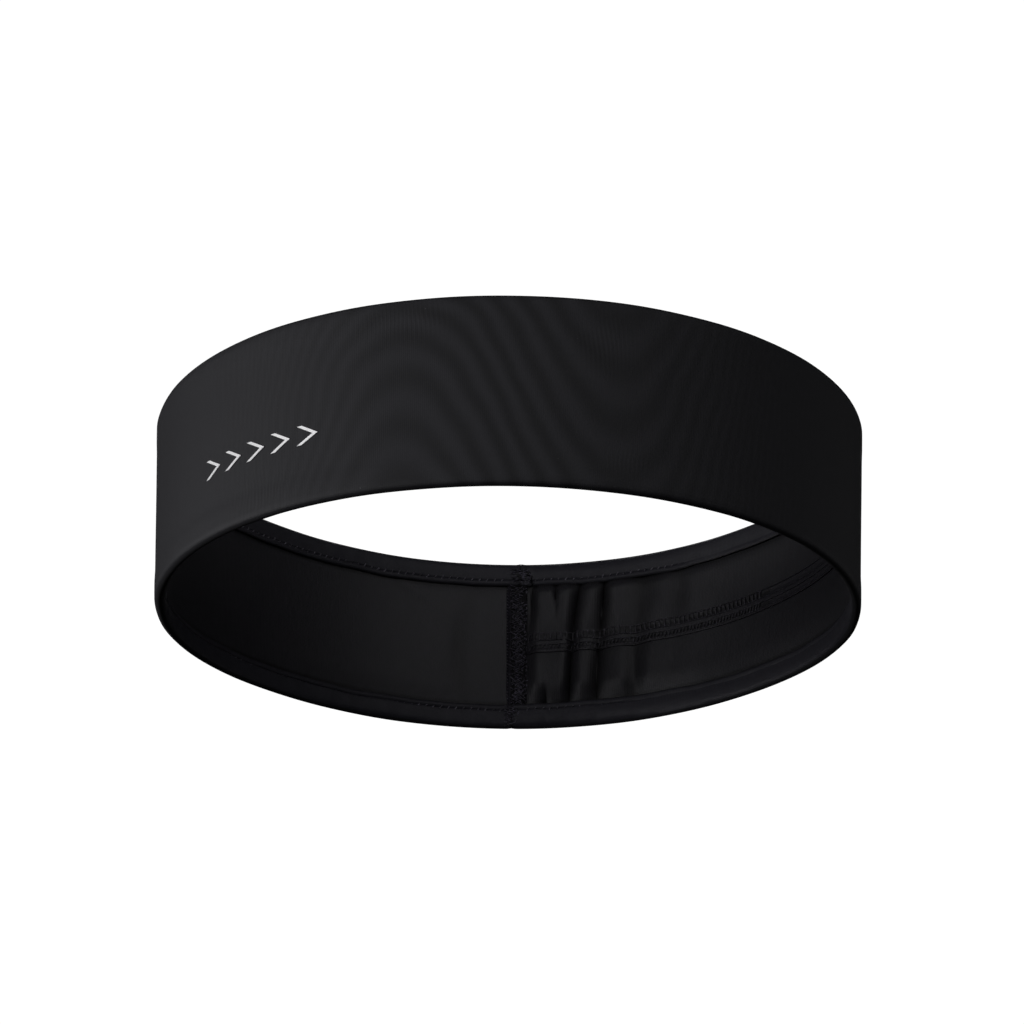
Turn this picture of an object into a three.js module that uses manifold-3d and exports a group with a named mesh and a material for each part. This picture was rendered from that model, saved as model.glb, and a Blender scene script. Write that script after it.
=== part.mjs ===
// A sports headband: a closed ring of black stretch knit with both long edges turned in and hemmed,
// a lining behind it, one overlocked seam at the back, a gathering elastic sewn to one side of the
// lining, and a row of five reflective chevrons on the front left.
//
// Millimetres and degrees, +Z up. The origin is the centre of the ring on its lower edge, the front is
// -Y, and the back seam is at +Y. An azimuth is counted from the front towards +X.

import * as THREE from "three";
import { mergeVertices } from "three/addons/utils/BufferGeometryUtils.js";
import Module from "manifold-3d";

const wasm = await Module();
wasm.setup();

// ---------------------------------------------------------------- driving dimensions

const RING_RADIUS = 93; // outside, at half height
const BAND_HEIGHT = 50;
const FLARE = 1.4; // how much larger the upper edge's radius is than the lower edge's
const RING_FACETS = 72;

const SHELL_THICKNESS = 0.75;
const LINING_THICKNESS = 0.6;
const PLY_GAP = 0.15; // air between two layers of cloth that follow the same curve
const HEM_DEPTH = 6.8; // how far a turned edge reaches along the inside
const FOLD_RADIUS = 0.7; // rounding of the folded edge
const LINING_EDGE_GAP = 0.4; // from the lining's long edge to the fold that holds it

const SEAM_AZIMUTH = 178.5; // at half height
const SEAM_LEAN = 1.5; // how far the seam's azimuth changes from the lower edge to the upper edge
const SEAM_SLIT = 0.4; // between the two sewn ends of a strip
const ALLOWANCE_WIDTH = 5.6;
const ALLOWANCE_THICKNESS = 1.1;
const ALLOWANCE_END_GAP = 0.4; // from the allowance to each hem's edge

const TRIM_CLEARANCE = 0.25; // under a trim that lies on a curved face
const THREAD_THICKNESS = 0.3;
const NEEDLE_THREAD_WIDTH = 0.35;
const NEEDLE_THREAD_INSET = 0.7; // from the allowance's left border
const LOOPER_INSET = 1.3; // from the allowance's left border
const LOOPER_TURNS = 14;
const LOOPER_WIDTH = 1.5; // across the seam

const SERGING_THICKNESS = 0.4;
const UPPER_SERGING_WIDTH = 6;
const LOWER_SERGING_WIDTH = 3.6;
const SERGING_END_GAP = 0.8; // from the serging to the folded edge and to the hem's edge

const HEM_THREAD_WIDTH = 1;
const HEM_THREAD_INSET = 1.2; // from the hem's edge to the middle of its stitching
const HEM_THREAD_END_GAP = 0.5; // from the stitching to the serging

const ELASTIC_WIDTH = 6;
const ELASTIC_THICKNESS = 0.5;
const ELASTIC_RISE = 0.5; // of its middle above half height
const ELASTIC_END_AZIMUTH = 92;
const ELASTIC_END_GAP = 0.5; // from the elastic to the seam allowance
const LADDER_WIDTH = 1.6;
const LADDER_SPACING = 3.4; // between the middles of the two ladder rows
const TACK_WIDTH = 1.8;
const TACK_INSET = 1; // from the elastic's free end
const TACK_GAP = 0.4; // from the tack to the ladder rows

const MARK_COUNT = 5;
const MARK_HEIGHT = 5.1;
const MARK_WIDTH = 6.2;
const MARK_STROKE = 1.5; // along the row
const MARK_PITCH = 8.4;
const MARK_ROW_AZIMUTH = -42.9;
const MARK_ROW_HEIGHT = 18.4; // of the row's middle above the lower edge
const MARK_THICKNESS = 0.2;
const MARK_CLEARANCE = 0.15;

// ---------------------------------------------------------------- places worked out from them

const LINING_FACE = SHELL_THICKNESS + PLY_GAP + LINING_THICKNESS; // depths behind the outer face
const HEM_FACE = LINING_FACE + PLY_GAP + SHELL_THICKNESS;
const OUTWARD = 1;
const INWARD = -1;
const CUT_MARGIN = 3; // how far a cutting solid passes the faces that it cuts
const SECTOR_STEP = 30; // between the corners of a cutting wedge

const toRadians = THREE.MathUtils.degToRad;
const toDegrees = THREE.MathUtils.radToDeg;

// The radius of the outer face at a height above the lower edge.
function outerRadius(height) {
  return RING_RADIUS + FLARE * (height / BAND_HEIGHT - 0.5);
}

function seamAzimuth(height) {
  return SEAM_AZIMUTH - SEAM_LEAN * (height / BAND_HEIGHT - 0.5);
}

// The angle that a length takes up on the inside of the band.
function arcAngle(length) {
  return toDegrees(length / (RING_RADIUS - HEM_FACE));
}

// ---------------------------------------------------------------- solids

function solidOf(geometry) {
  const bare = geometry.clone();
  bare.deleteAttribute("normal");
  bare.deleteAttribute("uv");
  const merged = mergeVertices(bare);
  return new wasm.Manifold(
    new wasm.Mesh({
      numProp: 3,
      vertProperties: merged.attributes.position.array,
      triVerts: new Uint32Array(merged.index.array),
    }),
  );
}

function geometryOf(solid) {
  const { vertProperties, triVerts } = solid.getMesh();
  const geometry = new THREE.BufferGeometry();
  geometry.setAttribute("position", new THREE.BufferAttribute(vertProperties, 3));
  geometry.setIndex(new THREE.BufferAttribute(triVerts, 1));
  geometry.computeVertexNormals();
  return geometry;
}

// A full ring. The profile is a closed loop of [depth behind the outer face, height] points.
function ring(profile) {
  const loop = [...profile, profile[0]];
  const points = loop.map(([depth, height]) => new THREE.Vector2(outerRadius(height) - depth, height));
  return solidOf(new THREE.LatheGeometry(points, RING_FACETS).rotateX(Math.PI / 2));
}

// The profile of a flat strip that follows the wall.
function stripProfile(depth, thickness, lower, upper) {
  return [
    [depth + thickness, lower],
    [depth, lower],
    [depth, upper],
    [depth + thickness, upper],
  ];
}

// A wedge about the ring's axis, from one azimuth to another.
function sector(from, to) {
  const steps = Math.ceil((to - from) / SECTOR_STEP);
  const chordReach = (RING_RADIUS + FLARE + CUT_MARGIN) / Math.cos(toRadians(SECTOR_STEP / 2));
  const outline = new THREE.Shape();
  outline.moveTo(0, 0);
  for (let i = 0; i <= steps; i += 1) {
    const angle = toRadians(from + ((to - from) * i) / steps);
    outline.lineTo(chordReach * Math.sin(angle), -chordReach * Math.cos(angle));
  }
  const depth = BAND_HEIGHT + 2 * CUT_MARGIN;
  return solidOf(new THREE.ExtrudeGeometry(outline, { depth, bevelEnabled: false }).translate(0, 0, -CUT_MARGIN));
}

// Part of a ring, from one azimuth to another.
function arc(profile, from, to) {
  return geometryOf(ring(profile).intersect(sector(from, to)));
}

// A ring cut through along the leaning back seam, where its two ends are sewn together.
function seamedRing(profile) {
  const lean = Math.atan2(toRadians(SEAM_LEAN) * RING_RADIUS, BAND_HEIGHT);
  const slit = new THREE.BoxGeometry(SEAM_SLIT, 2 * (HEM_FACE + CUT_MARGIN), BAND_HEIGHT + 2 * CUT_MARGIN)
    .rotateY(-lean)
    .translate(0, -RING_RADIUS, BAND_HEIGHT / 2)
    .rotateZ(toRadians(SEAM_AZIMUTH));
  return geometryOf(ring(profile).subtract(solidOf(slit)));
}

// A flat outline given a thickness and bent to the wall. In the outline x runs to the right as one looks
// at that side of the wall, y runs up from the given height, and the thickness grows off the wall.
function bentToWall(outline, thickness, side, depth, place) {
  const geometry = new THREE.ExtrudeGeometry(outline, { depth: thickness, bevelEnabled: false });
  const points = geometry.getAttribute("position");
  for (let i = 0; i < points.count; i += 1) {
    const height = place.height + points.getY(i);
    const face = outerRadius(height) - depth;
    const angle = toRadians(place.azimuth) + (side * points.getX(i)) / face;
    const radius = face + side * points.getZ(i);
    points.setXYZ(i, radius * Math.sin(angle), -radius * Math.cos(angle), height);
  }
  geometry.computeVertexNormals();
  return geometry;
}

// ---------------------------------------------------------------- outlines

function outlineOf(corners) {
  return new THREE.Shape(corners.map(([x, y]) => new THREE.Vector2(x, y)));
}

// An upright strip about the seam line, which leans, as its azimuth does, by the same amount per height.
function seamStripOutline(left, right, lower, upper) {
  const lean = (toRadians(SEAM_LEAN) * RING_RADIUS) / BAND_HEIGHT;
  return outlineOf([
    [left + lean * lower, lower],
    [right + lean * lower, lower],
    [right + lean * upper, upper],
    [left + lean * upper, upper],
  ]);
}

// A thread that swings from side to side on its way up the seam, as wide across the seam everywhere.
function zigzagOutline(left, right, lower, upper) {
  const lean = (toRadians(SEAM_LEAN) * RING_RADIUS) / BAND_HEIGHT;
  const swings = 2 * LOOPER_TURNS;
  const leftSide = [];
  const rightSide = [];
  for (let i = 0; i <= swings; i += 1) {
    const y = lower + ((upper - lower) * i) / swings;
    const x = (i % 2 === 0 ? left : right - LOOPER_WIDTH) + lean * y;
    leftSide.push([x, y]);
    rightSide.push([x + LOOPER_WIDTH, y]);
  }
  return outlineOf([...rightSide, ...leftSide.reverse()]);
}

// A slim arrowhead that points to the right.
function chevronOutline() {
  const half = MARK_HEIGHT / 2;
  const back = -MARK_WIDTH / 2;
  const tip = MARK_WIDTH / 2;
  return outlineOf([
    [back, -half],
    [back + MARK_STROKE, -half],
    [tip, 0],
    [back + MARK_STROKE, half],
    [back, half],
    [tip - MARK_STROKE, 0],
  ]);
}

// The shell's section: the outer wall, both folds, and the hem flap behind each.
function shellProfile() {
  const profile = [];
  const inner = HEM_FACE - SHELL_THICKNESS;
  const top = BAND_HEIGHT - SHELL_THICKNESS;
  const cornerSteps = 3;
  const corner = (depth, height, start) => {
    for (let i = 0; i <= cornerSteps; i += 1) {
      const angle = toRadians(start - (90 * i) / cornerSteps);
      profile.push([depth + FOLD_RADIUS * Math.cos(angle), height + FOLD_RADIUS * Math.sin(angle)]);
    }
  };
  corner(FOLD_RADIUS, FOLD_RADIUS, 270);
  corner(FOLD_RADIUS, BAND_HEIGHT - FOLD_RADIUS, 180);
  corner(HEM_FACE - FOLD_RADIUS, BAND_HEIGHT - FOLD_RADIUS, 90);
  profile.push([HEM_FACE, BAND_HEIGHT - HEM_DEPTH]);
  profile.push([inner, BAND_HEIGHT - HEM_DEPTH]);
  profile.push([inner, top]);
  profile.push([SHELL_THICKNESS, top]);
  profile.push([SHELL_THICKNESS, SHELL_THICKNESS]);
  profile.push([inner, SHELL_THICKNESS]);
  profile.push([inner, HEM_DEPTH]);
  profile.push([HEM_FACE, HEM_DEPTH]);
  corner(HEM_FACE - FOLD_RADIUS, FOLD_RADIUS, 0);
  return profile;
}

// ---------------------------------------------------------------- materials and meshes

const CLOTH_COLOUR = 0x2a2a2c;
const LINING_COLOUR = 0x1f2022;
const THREAD_COLOUR = 0x3a3a3f;
const ELASTIC_COLOUR = 0x1b1b1f;
const FILM_COLOUR = 0xe8e8e4;

function material(color, roughness, metalness) {
  return new THREE.MeshStandardMaterial({ color, roughness, metalness });
}

function addMesh(group, name, geometry, finish) {
  const mesh = new THREE.Mesh(geometry, finish);
  mesh.name = name;
  group.add(mesh);
}

// The strip of knit that makes the outside and both hems.
function makeShell() {
  const group = new THREE.Group();
  addMesh(group, "outer_shell", seamedRing(shellProfile()), material(CLOTH_COLOUR, 0.9, 0));
  return group;
}

// The smooth strip whose long edges are caught under the hems.
function makeLining() {
  const group = new THREE.Group();
  const edge = SHELL_THICKNESS + LINING_EDGE_GAP;
  const profile = stripProfile(SHELL_THICKNESS + PLY_GAP, LINING_THICKNESS, edge, BAND_HEIGHT - edge);
  addMesh(group, "lining", seamedRing(profile), material(LINING_COLOUR, 0.85, 0));
  return group;
}

// The turned ends of the shell and the lining, bound by a needle thread and a looper thread.
function makeBackSeam() {
  const group = new THREE.Group();
  const middle = { azimuth: SEAM_AZIMUTH, height: BAND_HEIGHT / 2 };
  const half = BAND_HEIGHT / 2 - HEM_DEPTH - ALLOWANCE_END_GAP;
  const left = -ALLOWANCE_WIDTH / 2;
  const right = ALLOWANCE_WIDTH / 2;
  const allowanceDepth = LINING_FACE + TRIM_CLEARANCE;
  const threadDepth = allowanceDepth + ALLOWANCE_THICKNESS + TRIM_CLEARANCE;
  const allowance = seamStripOutline(left, right, -half, half);
  addMesh(
    group,
    "back_seam_allowance",
    bentToWall(allowance, ALLOWANCE_THICKNESS, INWARD, allowanceDepth, middle),
    material(LINING_COLOUR, 0.9, 0),
  );
  const needleLeft = left + NEEDLE_THREAD_INSET - NEEDLE_THREAD_WIDTH;
  const needle = seamStripOutline(needleLeft, needleLeft + NEEDLE_THREAD_WIDTH, -half, half);
  addMesh(
    group,
    "seam_needle_thread",
    bentToWall(needle, THREAD_THICKNESS, INWARD, threadDepth, middle),
    material(THREAD_COLOUR, 0.7, 0),
  );
  const looper = zigzagOutline(left + LOOPER_INSET, right, -half, half);
  addMesh(
    group,
    "seam_looper_thread",
    bentToWall(looper, THREAD_THICKNESS, INWARD, threadDepth, middle),
    material(THREAD_COLOUR, 0.7, 0),
  );
  return group;
}

// One hem's serging at the seam, and the stitching that holds the hem down all the way round.
function makeHemStitching(prefix, foldHeight, edgeHeight, sergingWidth) {
  const group = new THREE.Group();
  const towardsFold = Math.sign(foldHeight - edgeHeight);
  const middle = (foldHeight + edgeHeight) / 2;
  const half = HEM_DEPTH / 2 - SERGING_END_GAP;
  const place = { azimuth: seamAzimuth(middle), height: middle };
  const serging = seamStripOutline(-sergingWidth / 2, sergingWidth / 2, -half, half);
  addMesh(
    group,
    `${prefix}_hem_serging`,
    bentToWall(serging, SERGING_THICKNESS, INWARD, HEM_FACE + TRIM_CLEARANCE, place),
    material(THREAD_COLOUR, 0.75, 0),
  );
  const row = edgeHeight + towardsFold * HEM_THREAD_INSET;
  const opening = arcAngle(sergingWidth / 2 + HEM_THREAD_END_GAP);
  const profile = stripProfile(
    HEM_FACE + PLY_GAP,
    THREAD_THICKNESS,
    row - HEM_THREAD_WIDTH / 2,
    row + HEM_THREAD_WIDTH / 2,
  );
  const start = seamAzimuth(row) + opening;
  const end = seamAzimuth(row) - opening + 360;
  addMesh(group, `${prefix}_hem_thread`, arc(profile, start, end), material(THREAD_COLOUR, 0.7, 0));
  return group;
}

// The elastic that gathers one side of the lining, its two ladder rows and the tack at its free end.
function makeElastic() {
  const group = new THREE.Group();
  const middle = BAND_HEIGHT / 2 + ELASTIC_RISE;
  const start = seamAzimuth(middle) - arcAngle(ALLOWANCE_WIDTH / 2 + ELASTIC_END_GAP);
  const elasticDepth = LINING_FACE + PLY_GAP;
  const threadDepth = elasticDepth + ELASTIC_THICKNESS + PLY_GAP;
  const half = ELASTIC_WIDTH / 2;
  const tape = stripProfile(elasticDepth, ELASTIC_THICKNESS, middle - half, middle + half);
  addMesh(
    group,
    "gathering_elastic",
    arc(tape, ELASTIC_END_AZIMUTH, start),
    material(ELASTIC_COLOUR, 0.8, 0),
  );
  const ladderEnd = ELASTIC_END_AZIMUTH + arcAngle(TACK_INSET + TACK_WIDTH + TACK_GAP);
  for (const [name, offset] of [["upper", LADDER_SPACING / 2], ["lower", -LADDER_SPACING / 2]]) {
    const low = middle + offset - LADDER_WIDTH / 2;
    const row = stripProfile(threadDepth, THREAD_THICKNESS, low, low + LADDER_WIDTH);
    addMesh(group, `elastic_${name}_thread`, arc(row, ladderEnd, start), material(THREAD_COLOUR, 0.7, 0));
  }
  const tackStart = ELASTIC_END_AZIMUTH + arcAngle(TACK_INSET);
  const tackHalf = (LADDER_SPACING + LADDER_WIDTH) / 2;
  const tack = stripProfile(threadDepth, THREAD_THICKNESS, middle - tackHalf, middle + tackHalf);
  addMesh(
    group,
    "elastic_end_tack",
    arc(tack, tackStart, tackStart + arcAngle(TACK_WIDTH)),
    material(THREAD_COLOUR, 0.7, 0),
  );
  return group;
}

// The row of reflective chevrons on the outside.
function makeMark() {
  const group = new THREE.Group();
  const pitch = toDegrees(MARK_PITCH / outerRadius(MARK_ROW_HEIGHT));
  for (let i = 0; i < MARK_COUNT; i += 1) {
    const azimuth = MARK_ROW_AZIMUTH + pitch * (i - (MARK_COUNT - 1) / 2);
    const place = { azimuth, height: MARK_ROW_HEIGHT };
    addMesh(
      group,
      `mark_${i + 1}`,
      bentToWall(chevronOutline(), MARK_THICKNESS, OUTWARD, -MARK_CLEARANCE, place),
      material(FILM_COLOUR, 0.35, 0.1),
    );
  }
  return group;
}

// ---------------------------------------------------------------- the headband

const headband = new THREE.Group();
headband.add(makeShell());
headband.add(makeLining());
headband.add(makeBackSeam());
headband.add(makeHemStitching("upper", BAND_HEIGHT, BAND_HEIGHT - HEM_DEPTH, UPPER_SERGING_WIDTH));
headband.add(makeHemStitching("lower", 0, HEM_DEPTH, LOWER_SERGING_WIDTH));
headband.add(makeElastic());
headband.add(makeMark());

export default headband;
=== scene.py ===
"""A black stretch-knit sports headband: shell, lining, back seam, hems, gathering elastic and chevrons.

Sizes are in metres, MM is a millimetre. An azimuth is in degrees from the front (-Y) towards +X, a
height is above the lower edge, and a depth is behind the shell's outer face, towards the ring's axis.
"""

import math

import bmesh
import bpy
import numpy as np
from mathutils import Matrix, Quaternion, Vector


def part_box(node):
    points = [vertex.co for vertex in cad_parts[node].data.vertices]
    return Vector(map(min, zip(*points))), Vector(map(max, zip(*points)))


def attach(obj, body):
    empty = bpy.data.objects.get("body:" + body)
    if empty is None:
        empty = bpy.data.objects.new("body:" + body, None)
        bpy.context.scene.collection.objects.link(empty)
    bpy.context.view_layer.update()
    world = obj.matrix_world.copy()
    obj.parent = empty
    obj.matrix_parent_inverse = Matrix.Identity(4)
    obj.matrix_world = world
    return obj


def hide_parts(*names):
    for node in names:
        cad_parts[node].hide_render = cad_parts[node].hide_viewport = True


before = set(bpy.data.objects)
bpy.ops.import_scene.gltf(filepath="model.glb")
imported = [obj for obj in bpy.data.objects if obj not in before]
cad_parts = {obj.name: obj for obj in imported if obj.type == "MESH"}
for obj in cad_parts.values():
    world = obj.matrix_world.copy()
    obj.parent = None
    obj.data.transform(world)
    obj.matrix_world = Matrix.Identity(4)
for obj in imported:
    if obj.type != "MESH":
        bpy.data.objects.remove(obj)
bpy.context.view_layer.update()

MM = 0.001
shell_low, shell_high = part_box("outer_shell")
HEIGHT = shell_high.z - shell_low.z
UPPER_RADIUS = shell_high.x

# ------------------------------------------------------------------ camera, floor and light
# The band stands on a pale floor that is seen through from underneath, because the camera
# looks up from below the lower edge, through the opening, at the inside of the back.

CAMERA_ELEVATION = -21.39
CAMERA_DISTANCE = 1.120
CAMERA_LENS = 148.9
CAMERA_ROLL = 0.54
CAMERA_AIM = Vector((0.00083, 0.0, 0.0293))

camera = bpy.data.objects.new("camera", bpy.data.cameras.new("camera"))
bpy.context.scene.collection.objects.link(camera)
tilt = math.radians(CAMERA_ELEVATION)
camera.location = (0, -CAMERA_DISTANCE * math.cos(tilt), HEIGHT / 2 + CAMERA_DISTANCE * math.sin(tilt))
camera.rotation_mode = "QUATERNION"
look = (CAMERA_AIM - camera.location).to_track_quat("-Z", "Y")
camera.rotation_quaternion = look @ Quaternion((0, 0, 1), math.radians(CAMERA_ROLL))
camera.data.lens = CAMERA_LENS
camera.data.clip_start = 0.01
bpy.context.scene.camera = camera
bpy.context.scene.view_settings.view_transform = "Standard"


def put(tree, kind, settings=None, **inputs):
    """Adds a node. Each input is a plain value or the output socket that feeds it; i0, i1... go by place."""
    node = tree.nodes.new(kind)
    for name, value in (settings or {}).items():
        setattr(node, name, value)
    for name, value in inputs.items():
        by_place = name[0] == "i" and name[1:].isdigit()
        socket = node.inputs[int(name[1:]) if by_place else name.replace("_", " ")]
        if isinstance(value, bpy.types.NodeSocket):
            tree.links.new(value, socket)
        else:
            socket.default_value = value
    return node


def flow(tree, kind, settings=None, **inputs):
    """Adds a node and gives its first output."""
    return put(tree, kind, settings, **inputs).outputs[0]


def new_material(name):
    """An empty node material, its tree and its output node."""
    material = bpy.data.materials.new(name)
    material.use_nodes = True
    material.node_tree.nodes.clear()
    return material, material.node_tree, material.node_tree.nodes.new("ShaderNodeOutputMaterial")


def make_floor():
    """A pale, faintly glowing studio floor, clear from below, that throws no light back on the band."""
    half = 4.0
    drop = 0.0002
    corners = [(-half, -half, -drop), (half, -half, -drop), (half, half, -drop), (-half, half, -drop)]
    mesh = bpy.data.meshes.new("floor")
    mesh.from_pydata(corners, [], [(0, 1, 2, 3)])
    material, tree, output = new_material("studio_floor")
    paper = flow(tree, "ShaderNodeBsdfDiffuse", Color=(0.8, 0.8, 0.8, 1))
    glow = flow(tree, "ShaderNodeEmission", Color=(1, 1, 1, 1), Strength=0.68)
    pale = flow(tree, "ShaderNodeAddShader", i0=paper, i1=glow)
    clear = flow(tree, "ShaderNodeBsdfTransparent")
    side = put(tree, "ShaderNodeNewGeometry").outputs["Backfacing"]
    mix = flow(tree, "ShaderNodeMixShader", i0=side, i1=pale, i2=clear)
    tree.links.new(mix, output.inputs["Surface"])
    mesh.materials.append(material)
    floor = bpy.data.objects.new("floor", mesh)
    floor.visible_shadow = False
    floor.visible_diffuse = False
    floor.visible_glossy = False
    bpy.context.scene.collection.objects.link(floor)


def make_world():
    """White to the camera, and dark to everything else, so that only the lights light the band."""
    world = bpy.data.worlds.new("studio")
    world.use_nodes = True
    tree = world.node_tree
    tree.nodes.clear()
    black = flow(tree, "ShaderNodeBackground", Color=(1, 1, 1, 1), Strength=0.0)
    white = flow(tree, "ShaderNodeBackground", Color=(1, 1, 1, 1), Strength=1.05)
    to_camera = put(tree, "ShaderNodeLightPath").outputs["Is Camera Ray"]
    mix = flow(tree, "ShaderNodeMixShader", i0=to_camera, i1=black, i2=white)
    put(tree, "ShaderNodeOutputWorld", Surface=mix)
    bpy.context.scene.world = world


def add_softbox(name, azimuth, elevation, distance, size, power):
    """A square soft light that faces the middle of the band."""
    light = bpy.data.lights.new(name, "AREA")
    light.size = size
    light.energy = power
    light.color = (0.97, 0.965, 1.0)
    a, e = math.radians(azimuth), math.radians(elevation)
    away = Vector((math.sin(a) * math.cos(e), -math.cos(a) * math.cos(e), math.sin(e)))
    box = bpy.data.objects.new(name, light)
    box.location = Vector((0, 0, HEIGHT / 2)) + away * distance
    box.rotation_mode = "QUATERNION"
    box.rotation_quaternion = (-away).to_track_quat("-Z", "Y")
    box.visible_camera = False
    bpy.context.scene.collection.objects.link(box)


make_floor()
make_world()
add_softbox("key_left", azimuth=-65, elevation=0, distance=1.3, size=0.72, power=5.4)
add_softbox("key_front_left", azimuth=-45, elevation=0, distance=1.3, size=0.8, power=1.92)
add_softbox("rim_left", azimuth=-100, elevation=0, distance=1.3, size=0.5, power=3.8)
add_softbox("front", azimuth=-10, elevation=0, distance=1.3, size=0.8, power=1.6)
add_softbox("front_high", azimuth=0, elevation=22, distance=1.3, size=0.8, power=1.0)
add_softbox("front_right_high", azimuth=28, elevation=23, distance=1.3, size=0.8, power=1.5)
add_softbox("right_high", azimuth=50, elevation=28, distance=1.3, size=0.8, power=0.8)
add_softbox("rim_right", azimuth=110, elevation=0, distance=1.3, size=0.8, power=0.6)
add_softbox("back", azimuth=180, elevation=38, distance=1.3, size=0.7, power=5.0)
add_softbox("inside_glow", azimuth=-30, elevation=30, distance=0.45, size=0.25, power=0.064)

# ------------------------------------------------------------------ outer shell
# One strip of fine-ribbed stretch knit, 0.75 mm thick, wrapped once round and sewn end to end at
# the back. Both long edges are turned in 6.8 mm and stitched down, so they fold softly and stand a
# little proud on the outside, and beside the seam each flap ends in a rolled bead beyond its stitches.

SHELL_CLOTH = 0.75 * MM
LINING_CLOTH = 0.6 * MM
PLY_GAP = 0.15 * MM
HEM_DEPTH = 6.8 * MM
LINING_FACE = SHELL_CLOTH + PLY_GAP + LINING_CLOTH
HEM_FACE = LINING_FACE + PLY_GAP + SHELL_CLOTH

SEAM_AZIMUTH = 178.5
SEAM_LEAN = 1.5
SEAM_POINT = 1.3 * MM
SEAM_ZONE = 42.0
FINE_STEP = 0.42 * MM
COARSE_STEP = 1.25 * MM

HEM_SWELL = 0.15 * MM
FLAP_PUFF = 0.16 * MM
GROOVE_INSET = 1.45 * MM
GROOVE_WIDTH = 0.22 * MM
GROOVE_DEPTH = 0.34 * MM
BEAD_INSET = 0.6 * MM
BEAD_RISE = 0.10 * MM
EDGE_DROP = 0.25 * MM
EDGE_WANDER = 0.22 * MM
SEAM_ROLL = 0.5 * MM
OUTSIDE_UNEVEN = 0.10 * MM
FLAP_WRINKLE = 0.12 * MM
STITCH_PITCH = 2.2 * MM

# How much painted shade darkens the shell's colour at the bottom of each feature, as a share.
GROOVE_SHADE = 0.55
EDGE_SHADE = 0.75
SLIT_SHADE = 0.9
SEAM_SHADE = 0.8

shell_points = np.array([v.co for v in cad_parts["outer_shell"].data.vertices])
LOWER_RADIUS = float(np.hypot(shell_points[:, 0], shell_points[:, 1])[shell_points[:, 2] < 1.2 * MM].max())


def seam_azimuth(height):
    return SEAM_AZIMUTH - SEAM_LEAN * (height / HEIGHT - 0.5)


def bump(x, centre, width):
    """A smooth hill of height 1."""
    return np.exp(-(((x - centre) / width) ** 2))


def ramp(x, start, end):
    """0 before start and 1 after end, with a soft change between."""
    t = np.clip((x - start) / (end - start), 0, 1)
    return t * t * (3 - 2 * t)


def turns_from_seam(azimuth):
    """Degrees from the back seam, positive towards the side that has the elastic."""
    return (SEAM_AZIMUTH - azimuth + 180) % 360 - 180


def outer_radius(height):
    return LOWER_RADIUS + (UPPER_RADIUS - LOWER_RADIUS) * height / HEIGHT


def ring_shift(azimuth):
    """The thick back seam pushes the soft ring a little out of round."""
    away = np.abs(turns_from_seam(azimuth))
    return SEAM_POINT * (bump(away, 0, 27) - bump(away, 48, 20))


def wall_points(azimuth, height, depth):
    """Places on the band, as an array of (x, y, z) rows."""
    angle = np.radians(azimuth)
    radius = outer_radius(height) + ring_shift(azimuth) - depth
    angle, radius, height = np.broadcast_arrays(angle, radius, height)
    return np.stack([radius * np.sin(angle), -radius * np.cos(angle), height], axis=-1)


def ripple(azimuth, height, seed, finest):
    """A smooth random wave round the band, about -1 to 1, with up to `finest` waves a turn."""
    draw = np.random.default_rng(seed)
    wave = 0
    for turns in np.unique(np.geomspace(3, finest, 9).astype(int)):
        phase, lean, share = draw.uniform(0, 2 * np.pi), draw.uniform(-1, 1), draw.uniform(0.5, 1)
        wave = wave + share * np.sin(np.radians(azimuth) * turns + lean * height / (8 * MM) + phase)
    return wave / 3.2


# The pleats of the lining beside the seam: valley's azimuth at half height, how many degrees it leans over
# the band's height, how deep it is at the bottom and at the top as a share of the gathering, half width,
# and the shares of the height between which it changes from the lower depth to the upper one.
PLEATS = [
    (176.4, -1.0, 0.00, 1.00, 0.95, 0.50, 0.80),
    (173.4, 0.5, 0.80, 0.00, 0.45, 0.12, 0.26),
    (171.3, 0.6, 0.00, 0.80, 0.55, 0.60, 0.92),
    (168.2, -2.9, 1.00, 0.90, 1.15, 0.15, 0.85),
    (163.4, -0.8, 1.00, 1.00, 1.35, 0.15, 0.85),
    (156.2, -1.4, 0.75, 0.80, 1.50, 0.15, 0.85),
    (148.2, -1.5, 0.10, 0.75, 1.60, 0.45, 0.75),
    (139.0, -2.6, 0.35, 0.20, 2.40, 0.15, 0.85),
]
GATHER_RISE = 3.5 * MM
GATHER_END = 46.0
CAUGHT = 0.24
VALLEY_SHADE = 0.95
SEAM_LIFT = 0.45 * MM
SLIT_DEPTH = 1.0 * MM
TUCK_DEPTH = 0.35 * MM


def gathered(azimuth):
    """How much of the gathering there is at an azimuth, from 0 to 1."""
    away = turns_from_seam(azimuth)
    return ramp(away, 0.8, 4.2) * (1 - ramp(away, 10, GATHER_END)) ** 1.3


def valley(azimuth, height):
    """How near a place is to the bottom of a pleat's valley, from 0 to 1."""
    share = height / HEIGHT
    cut = 0
    for centre, lean, low, high, width, change, changed in PLEATS:
        bend = 0.3 * np.sin(centre + 5.5 * share)
        middle = centre + lean * (share - 0.5) + bend * width
        depth = low + (high - low) * ramp(share, change, changed)
        reach = width * (1 + 0.3 * (high - low) * (share - 0.5) + 0.25 * np.sin(2 * centre + 4 * share))
        # steep on the seam's side, gentle on the other; sharp at the bottom near the seam, rounder far off
        reach = 2.3 * reach * np.where(azimuth > middle, 0.8, 1.2)
        near = 1 - np.clip(np.abs(azimuth - middle) / reach, 0, 1)
        soft = ramp(turns_from_seam(centre), 14, 26)
        cut = 1 - (1 - cut) * (1 - depth * near**2 * (1 + soft * 2 * (1 - near)))
    return cut


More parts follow.
